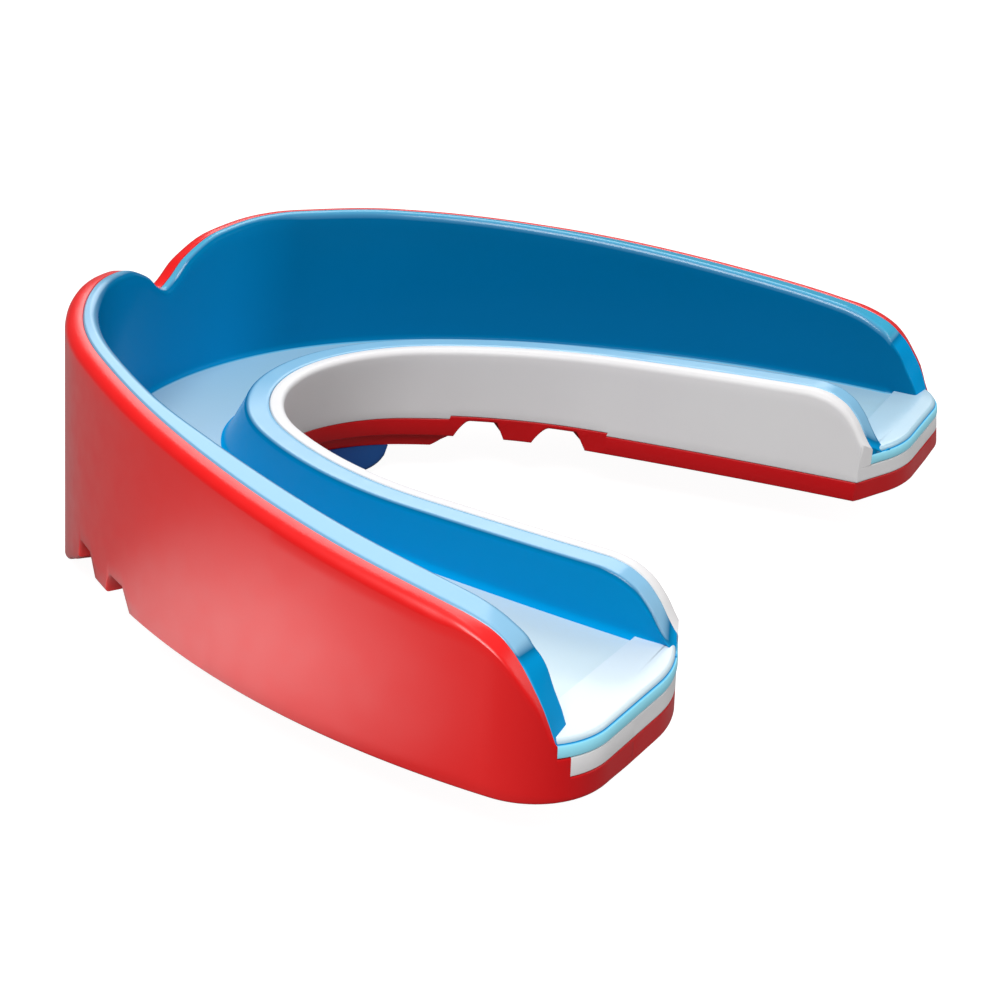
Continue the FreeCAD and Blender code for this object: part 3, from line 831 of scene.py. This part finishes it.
def tongue_liner_section(b):
    """Section of the lining of the tongue-side wall."""
    floor = FLOOR_RECESS
    start = FRAME_WALL + SKIN
    rim = tongue_rim(b)
    reach = tongue_face(rim)
    low = FRAME_TOP + LINER_FOOT
    edge = TONGUE_EDGE if rim > floor + TALL[0] else max(LEAST[0], (rim - floor) * LOW_SHARE)
    foot = TONGUE_FILLET if rim > floor + TALL[1] else max(LEAST[1], (rim - floor) * LOW_SHARE)
    flare = FLARE * ease(1 - b / FLARE_END)
    lowered = ease((TONGUE_TINT_LEVEL - rim) / TONGUE_TINT_RUN)
    rim_tone = between(RIM_TONE, TONGUE_FACE, TONGUE_TINT * lowered)
    rows = [(start, low, rim_tone), (start, rim - TONGUE_BACK_DROP, rim_tone)]
    rows.append((start + LINER_LIFT, rim - RIM_DROP, rim_tone))
    flat_end = reach - edge
    rows += [(between(start + 2 * LINER_LIFT, flat_end, i / 8), rim, rim_tone) for i in range(9)]
    turn = rounded((flat_end, rim), (reach, rim), (reach - BELOW, rim - edge), 5)
    rows += [(inset, z, between(rim_tone, TONGUE_FACE, i / 5))
             for i, (inset, z) in enumerate(turn) if i > 0]
    bottom = floor + foot
    for i in range(1, 9):
        z = between(rim - edge, bottom, i / 9)
        rows.append((tongue_face(z) + flare * i / 9, z, TONGUE_FACE))
    base = tongue_face(bottom) + flare
    turn = rounded((base, bottom), (base, floor), (base + foot, floor - BELOW), 5)
    rows += [(inset, z, TONGUE_FACE) for inset, z in turn]
    rows.append((base + foot, low, OVER_WHITE))
    return [(wall_point(b, z, inset, rim, floor), tone) for inset, z, tone in rows]


# Stations: from, to and spacing.
FLOOR_FINE = (61.7, 62.0, 0.05)
CORNER_FINE = (0.5, 0.1, 0.2)    # run before the corner, spacing before it and after it
LIP_RUNS = ((0.0, 3.0, 0.2), (3.0, 55.0, 0.5), (55.0, CUT_PLACE, 0.2), (CUT_PLACE, CUT_TIP, 0.1))
TONGUE_RUNS = ((0.0, 10.0, 0.3), (10.0, 33.0, 0.5), (33.0, TONGUE_END - 0.1, 0.15))


def chained(runs):
    """Evenly spaced values of runs that follow on from each other."""
    values = [runs[0][0]]
    for low, high, spacing in runs:
        values += spread(low, high, spacing)[1:]
    return values


def make_gel_liner():
    bm = bmesh.new()
    table = pairs_for(FRAME_WALL + SKIN)
    corner = lip_match(table, TONGUE_END + SKEW * (FRAME_WALL + SKIN))
    run, before, after = CORNER_FINE
    fine = spread(*FLOOR_FINE) + spread(corner - run, corner, before)
    fine += spread(corner, TIP_MIDDLE, after)
    rings = [floor_section(*spot) for spot in doubled(stations(table, fine), [WRAP_GEL])]
    sweep(bm, rings, FLOOR_FAR_SHADE)
    sweep(bm, [lip_liner_section(a) for a in chained(LIP_RUNS)], LIP_FAR_SHADE)
    sweep(bm, [tongue_liner_section(b) for b in chained(TONGUE_RUNS)], TONGUE_FAR_SHADE)
    return make_object("gel_liner_skin", bm)


# ---------------------------------------- blue lower gel pad
PAD_REACH = 12.0
PAD_TONGUE_REACH = 8.6
PAD_TOP = -0.92
PAD_FOOT = -3.0
PAD_LEAST = 0.05                 # height of the pad's very end
PAD_RUN = 3.2                    # run over which the pad's end rises
PAD_EDGE = 0.4
PAD_NEAR = BUMPER_WALL + 0.06    # inset from the lip side
PAD_FAR = 0.55                   # inset from the tongue side
PAD_SPACING = 0.3


def pad_section(a):
    """Section of the pad under the front."""
    b = a * PAD_TONGUE_REACH / PAD_REACH
    drop = clamp((PAD_REACH - a) / PAD_RUN)
    foot = PAD_TOP - PAD_LEAST + (PAD_FOOT - PAD_TOP) * math.sqrt(1 - (1 - drop) ** 2)
    edge = min(PAD_EDGE, (PAD_TOP - foot) * ROUNDED_SHARE)
    rows = [(TONGUE_SIDE, PAD_FAR, PAD_TOP)]
    rows += turn_rows(TONGUE_SIDE, (0.0, foot + edge), (0.0, foot), (edge, foot), 4, PAD_FAR)
    rows += [(share, 0.0, foot) for share in (0.8, 0.6, 0.4, 0.2)]
    rows += turn_rows(LIP_SIDE, (edge, foot), (0.0, foot), (0.0, foot + edge), 4, PAD_NEAR)
    rows += [(LIP_SIDE, PAD_NEAR, PAD_TOP), (0.5, 0.0, PAD_TOP)]
    ring = []
    for line, inset, z in rows:
        if line == LIP_SIDE:
            x, y = lip(a, z, inset)
        elif line == TONGUE_SIDE:
            x, y = tongue(b, 0.0, inset)
        else:
            x, y = blend(lip(a, z, PAD_NEAR + edge), tongue(b, 0.0, PAD_FAR + edge), line)
        ring.append(((x, y, z), OVER_RED))
    return ring


def make_lower_pad():
    bm = bmesh.new()
    sweep(bm, [pad_section(a) for a in spread(0.0, PAD_REACH, PAD_SPACING)])
    return make_object("lower_gel_pad_skin", bm)


# ---------------------------------------- materials
# Colours as 0-255 display values; a pair is the range of a soft variation.
RED_WALL = ((244, 14, 14), (248, 18, 18))
# painted shade: a darker red where shade falls, on the tongue side, the underside and the lip face near the
# tip
RED_PAINTED_SHADE = ((194, 6, 14), (200, 10, 18))
WHITE_FRAME = ((230, 228, 229), (235, 234, 234))
GEL_TONES = ((OVER_WHITE, (224, 236, 242)), (RECESS_SHADE_TONE, (216, 232, 236)),
             (RIM_TONE, (144, 196, 228)), (OVER_RED, (0, 110, 158)),
             (TONGUE_FACE, (0, 154, 218)), (BEAD, (160, 236, 255)))
GEL_PATCH = (0, 130, 190)
# painted shade: the deeper cyan of the far side's rims and floor
GEL_FAR_SHADE = (20, 168, 208)
LOWER_GEL = ((10, 60, 140), (0, 84, 150))
FLOOR_GREY = ((140, 140, 140), (144, 144, 144))
NOISE_SPAN = (0.3, 0.7)          # the range that noise mostly stays in


def srgb(red, green, blue):
    """Linear colour from 0-255 display values."""
    def linear(value):
        value /= 255.0
        return value / 12.92 if value <= 0.04045 else ((value + 0.055) / 1.055) ** 2.4
    return linear(red), linear(green), linear(blue), 1.0


class Nodes:
    """Small helper to write a node material from top to bottom."""

    def __init__(self, name):
        self.material = bpy.data.materials.new(name)
        self.material.use_nodes = True
        self.tree = self.material.node_tree
        self.surface = self.tree.nodes["Principled BSDF"]
        self.place = self.add("ShaderNodeTexCoord").outputs["Object"]

    def add(self, kind, **settings):
        node = self.tree.nodes.new(kind)
        for key, value in settings.items():
            setattr(node, key, value)
        return node

    def link(self, source, target):
        self.tree.links.new(source, target)

    def feed(self, name, source):
        self.link(source, self.surface.inputs[name])

    def set(self, **values):
        for key, value in values.items():
            self.surface.inputs[key.replace("_", " ")].default_value = value

    def noise(self, per_mm, detail=3.0):
        node = self.add("ShaderNodeTexNoise")
        node.inputs["Scale"].default_value = per_mm / MM
        node.inputs["Detail"].default_value = detail
        self.link(self.place, node.inputs["Vector"])
        return node.outputs["Fac"]

    def ranged(self, source, low, high, out_low, out_high):
        node = self.add("ShaderNodeMapRange")
        node.inputs["From Min"].default_value = low
        node.inputs["From Max"].default_value = high
        node.inputs["To Min"].default_value = out_low
        node.inputs["To Max"].default_value = out_high
        self.link(source, node.inputs["Value"])
        return node.outputs["Result"]

    def mix(self, factor, first, second):
        node = self.add("ShaderNodeMix", data_type="RGBA")
        self.link(factor, node.inputs["Factor"])
        for socket, value in ((node.inputs["A"], first), (node.inputs["B"], second)):
            if isinstance(value, tuple):
                socket.default_value = value
            else:
                self.link(value, socket)
        return node.outputs["Result"]

    def bump(self, height, strength, distance_mm):
        node = self.add("ShaderNodeBump")
        node.inputs["Strength"].default_value = strength
        node.inputs["Distance"].default_value = distance_mm * MM
        self.link(height, node.inputs["Height"])
        self.feed("Normal", node.outputs["Normal"])

    def attribute(self, name):
        return self.add("ShaderNodeAttribute", attribute_name=name).outputs["Fac"]

    def patches(self, per_mm, low, high, detail=2.0):
        """Soft noise stretched to run from low to high."""
        return self.ranged(self.noise(per_mm, detail), *NOISE_SPAN, low, high)

    def varied(self, factor, pair):
        return self.mix(factor, srgb(*pair[0]), srgb(*pair[1]))

    def scatter(self, weight, radii_mm):
        self.set(Subsurface_Weight=weight, Subsurface_Radius=[radius * MM for radius in radii_mm])


def red_material():
    n = Nodes("red_shell")
    broad = n.patches(0.05, low=0.0, high=1.0)
    # the tone attribute paints shade: a darker red, with less coat and gloss, on the tongue side, the
    # underside and near the tip
    tone = n.attribute("tone")
    n.feed("Base Color", n.mix(tone, n.varied(broad, RED_WALL), n.varied(broad, RED_PAINTED_SHADE)))
    n.feed("Roughness", n.patches(0.6, low=0.34, high=0.42, detail=4.0))
    n.feed("Coat Weight", n.ranged(tone, 0.0, 0.7, out_low=0.5, out_high=0.05))
    n.feed("Specular IOR Level", n.ranged(tone, 0.0, 0.7, out_low=0.5, out_high=0.25))
    n.set(Coat_Roughness=0.22)
    n.scatter(weight=0.05, radii_mm=(1.2, 0.3, 0.2))
    n.bump(n.noise(4.0), strength=0.1, distance_mm=0.004)
    return n.material


def white_material():
    n = Nodes("white_frame")
    n.feed("Base Color", n.varied(n.patches(0.08, low=0.0, high=1.0), WHITE_FRAME))
    n.feed("Roughness", n.patches(0.8, low=0.42, high=0.5, detail=3.0))
    n.scatter(weight=0.1, radii_mm=(0.6, 0.6, 0.6))
    n.bump(n.noise(4.0), strength=0.1, distance_mm=0.004)
    return n.material


def gel_material():
    n = Nodes("blue_gel")
    tone = n.attribute("tone")
    ramp = n.add("ShaderNodeValToRGB")
    n.link(n.ranged(tone, OVER_WHITE, BEAD, 0.0, 1.0), ramp.inputs["Fac"])
    elements = ramp.color_ramp.elements
    while len(elements) < len(GEL_TONES):
        elements.new(0.5)
    for element, (level, colour) in zip(elements, GEL_TONES):
        element.position = level / BEAD
        element.color = srgb(*colour)
    gel = n.mix(n.patches(0.06, low=0.0, high=0.12), ramp.outputs["Color"], srgb(*GEL_PATCH))
    # the depth attribute mixes in the painted shade of the far side
    n.feed("Base Color", n.mix(n.attribute("depth"), gel, srgb(*GEL_FAR_SHADE)))
    n.feed("Roughness", n.patches(0.7, low=0.17, high=0.24, detail=3.0))
    n.feed("Specular IOR Level", n.ranged(tone, 1.8, OVER_RED, out_low=0.5, out_high=0.03))
    n.bump(n.noise(1.5, detail=2.0), strength=0.1, distance_mm=0.002)
    return n.material


def dark_gel_material():
    n = Nodes("blue_lower_gel")
    n.feed("Base Color", n.varied(n.patches(0.08, low=0.0, high=1.0), LOWER_GEL))
    n.feed("Roughness", n.patches(0.7, low=0.3, high=0.38, detail=3.0))
    n.bump(n.noise(3.0), strength=0.1, distance_mm=0.004)
    return n.material


# ---------------------------------------- put the pieces on the frame
def dress(piece, node, material):
    """Give a piece its material and put it in place of a node."""
    piece.data.materials.append(material)
    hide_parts(node)
    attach(piece, "root")


dress(make_outer_shell(), "outer_shell", red_material())
dress(make_shock_frame(), "shock_frame", white_material())
dress(make_gel_liner(), "gel_liner", gel_material())
dress(make_lower_pad(), "lower_gel_pad", dark_gel_material())


# ---------------------------------------- floor, lights, camera
FLOOR_HALF = 2.0                 # half the floor's width, in metres
FLOOR_DROP = 0.02                # gap below the piece
FLOOR_GLOW = 0.96                # what the camera sees
PATCH_GLOW = 3.0                 # a bright patch that only shows as a highlight on the wall
PATCH_PLACE = (44.0, 13.0, 0.0)  # in the bite frame
PATCH_FADE = (5.0, 25.0)
WORLD_LIGHT = 0.22               # how bright the surroundings are
WORLD_MIRROR = 0.1               # and how bright they look in gloss
# Name, azimuth, elevation, width in metres, watts.
LIGHTS = (("overhead", 105, 60, 0.3, 2.3), ("rear", 212, 25, 0.3, 0.56),
          ("backdrop", 297, 40, 0.35, 0.9))
LIGHT_DISTANCE = 0.5             # in metres
WHITE = (1, 1, 1, 1)


def make_floor():
    mesh = bpy.data.meshes.new("floor")
    corners = [(x * FLOOR_HALF, y * FLOOR_HALF, 0) for x, y in ((-1, -1), (1, -1), (1, 1), (-1, 1))]
    mesh.from_pydata(corners, [], [(0, 1, 2, 3)])
    floor = add_object("floor", mesh)
    floor.location.z = cad_low.z - FLOOR_DROP * MM
    n = Nodes("pale_floor")
    rays = n.add("ShaderNodeLightPath").outputs
    spot = n.add("ShaderNodeVectorMath", operation="DISTANCE")
    n.link(n.place, spot.inputs[0])
    spot.inputs[1].default_value = to_frame(PATCH_PLACE)
    near, far = (reach * MM for reach in PATCH_FADE)
    fade = n.ranged(spot.outputs["Value"], near, far, PATCH_GLOW, 0.0)
    in_mirror = n.add("ShaderNodeMath", operation="MULTIPLY")
    n.link(rays["Is Glossy Ray"], in_mirror.inputs[0])
    n.link(fade, in_mirror.inputs[1])
    glow = n.add("ShaderNodeMath", operation="MULTIPLY_ADD")
    n.link(rays["Is Camera Ray"], glow.inputs[0])
    glow.inputs[1].default_value = FLOOR_GLOW
    n.link(in_mirror.outputs["Value"], glow.inputs[2])
    n.feed("Base Color", n.varied(n.patches(0.02, low=0.0, high=1.0), FLOOR_GREY))
    n.feed("Emission Strength", glow.outputs["Value"])
    n.set(Roughness=0.9, Specular_IOR_Level=0.0, Emission_Color=WHITE)
    mesh.materials.append(n.material)


def towards(azimuth, elevation):
    """Direction from the piece to a light or camera; azimuth 0 is the front."""
    a, e = math.radians(azimuth), math.radians(elevation)
    return Vector((math.sin(a) * math.cos(e), -math.cos(a) * math.cos(e), math.sin(e)))


def soft_light(name, azimuth, elevation, size, watts):
    """Square area light aimed at the middle of the piece."""
    light = bpy.data.lights.new(name, "AREA")
    light.size = size
    light.energy = watts
    lamp = add_object(name, light)
    back = towards(azimuth, elevation)
    lamp.location = (cad_low + cad_high) / 2 + back * LIGHT_DISTANCE
    lamp.rotation_mode = "QUATERNION"
    lamp.rotation_quaternion = back.to_track_quat("Z", "Y")


def make_world():
    world = bpy.data.worlds.new("studio")
    world.use_nodes = True
    background = world.node_tree.nodes["Background"]
    background.inputs["Color"].default_value = WHITE
    rays = world.node_tree.nodes.new("ShaderNodeLightPath")
    dim = world.node_tree.nodes.new("ShaderNodeMapRange")
    dim.inputs["To Min"].default_value = WORLD_LIGHT
    dim.inputs["To Max"].default_value = WORLD_MIRROR
    world.node_tree.links.new(rays.outputs["Is Glossy Ray"], dim.inputs["Value"])
    world.node_tree.links.new(dim.outputs["Result"], background.inputs["Strength"])
    bpy.context.scene.world = world


VIEW_AZIMUTH = 117.575
VIEW_ELEVATION = 23.948
VIEW_ROLL = 2.352
VIEW_DISTANCE = 132.067
VIEW_TARGET = (5.816, 32.21, 3.827)      # in the bite frame
VIEW_LENS = 77.154
SENSOR_WIDTH = 36.0


def make_camera():
    camera = bpy.data.cameras.new("camera")
    camera.lens = VIEW_LENS
    camera.sensor_width = SENSOR_WIDTH
    camera.clip_start = MM
    holder = add_object("camera", camera)
    back = towards(VIEW_AZIMUTH, VIEW_ELEVATION)
    right = (-back).cross(Vector((0, 0, 1))).normalized()
    up = right.cross(-back)
    cosine, sine = math.cos(math.radians(VIEW_ROLL)), math.sin(math.radians(VIEW_ROLL))
    right, up = right * cosine + up * sine, up * cosine - right * sine
    place = to_frame(VIEW_TARGET) + back * VIEW_DISTANCE * MM
    holder.matrix_world = Matrix.Translation(place) @ Matrix((right, up, back)).transposed().to_4x4()
    bpy.context.scene.camera = holder


make_floor()
make_world()
for light in LIGHTS:
    soft_light(*light)
make_camera()
bpy.context.scene.view_settings.view_transform = "Standard"
